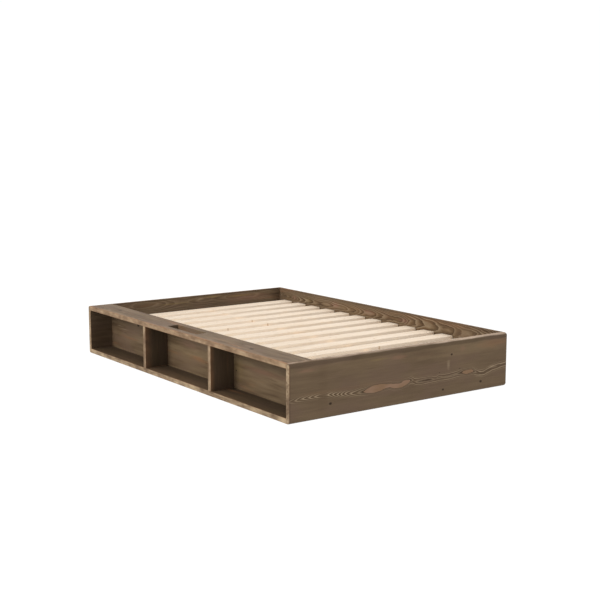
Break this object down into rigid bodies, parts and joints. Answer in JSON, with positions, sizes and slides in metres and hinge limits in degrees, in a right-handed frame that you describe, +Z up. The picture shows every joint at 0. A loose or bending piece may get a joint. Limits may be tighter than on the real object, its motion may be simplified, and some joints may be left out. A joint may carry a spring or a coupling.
{
  "type": "bed frame",
  "caption": "Low stained-pine bed frame with open storage bays along one long side and a loose slatted base set down inside its boards.",
  "frame": {"origin": "on the floor, under the middle of the bed's footprint", "axes": "+Z up, +Y along the bed from foot to head, +X across it from the bay side to the plain side"},
  "size_m": [1.368, 2.05, 0.278],
  "materials": {
    "stained_pine": "dark brown stain, satin",
    "slat_pine": "planed, unfinished",
    "support_pine": "planed, unfinished",
    "beech": "fluted, unfinished",
    "zinc_steel": "zinc plated",
    "tape": "woven cotton tape",
    "nylon": "moulded"
  },
  "bodies": {
    "frame": {"head_board": "stained_pine", "foot_board": "stained_pine", "side_board": "stained_pine", "shelf_top": "stained_pine", "shelf_bottom": "stained_pine", "divider_1": "stained_pine", "divider_2": "stained_pine", "shelf_back": "stained_pine", "ledger_shelf": "support_pine", "ledger_side": "support_pine", "centre_beam": "support_pine", "centre_leg": "support_pine", "corner_post_foot_shelf": "support_pine", "corner_post_foot_side": "support_pine", "corner_post_head_shelf": "support_pine", "corner_post_head_side": "support_pine", "shelf_dowels": "beech", "divider_dowels": "beech", "side_dowels": "beech", "beam_hanger_foot": "zinc_steel", "beam_hanger_head": "zinc_steel", "cam_bolts": "zinc_steel", "cam_locks": "zinc_steel", "panel_screws": "zinc_steel", "ledger_screws_side": "zinc_steel", "ledger_screws_shelf": "zinc_steel", "post_screws": "zinc_steel", "hanger_screws": "zinc_steel", "leg_screws": "zinc_steel", "leg_glide": "nylon"},
    "slat_base": {"slat_01": "slat_pine", "slat_02": "slat_pine", "slat_03": "slat_pine", "slat_04": "slat_pine", "slat_05": "slat_pine", "slat_06": "slat_pine", "slat_07": "slat_pine", "slat_08": "slat_pine", "slat_09": "slat_pine", "slat_10": "slat_pine", "slat_11": "slat_pine", "slat_12": "slat_pine", "slat_13": "slat_pine", "slat_tape_shelf": "tape", "slat_tape_side": "tape", "tape_staples": "zinc_steel"}
  },
  "joints": [
    {"name": "slat_base_lift", "type": "slide", "parent": "frame", "child": "slat_base", "axis": [0, 0, 1], "range_m": [0, 0.25]}
  ]
}
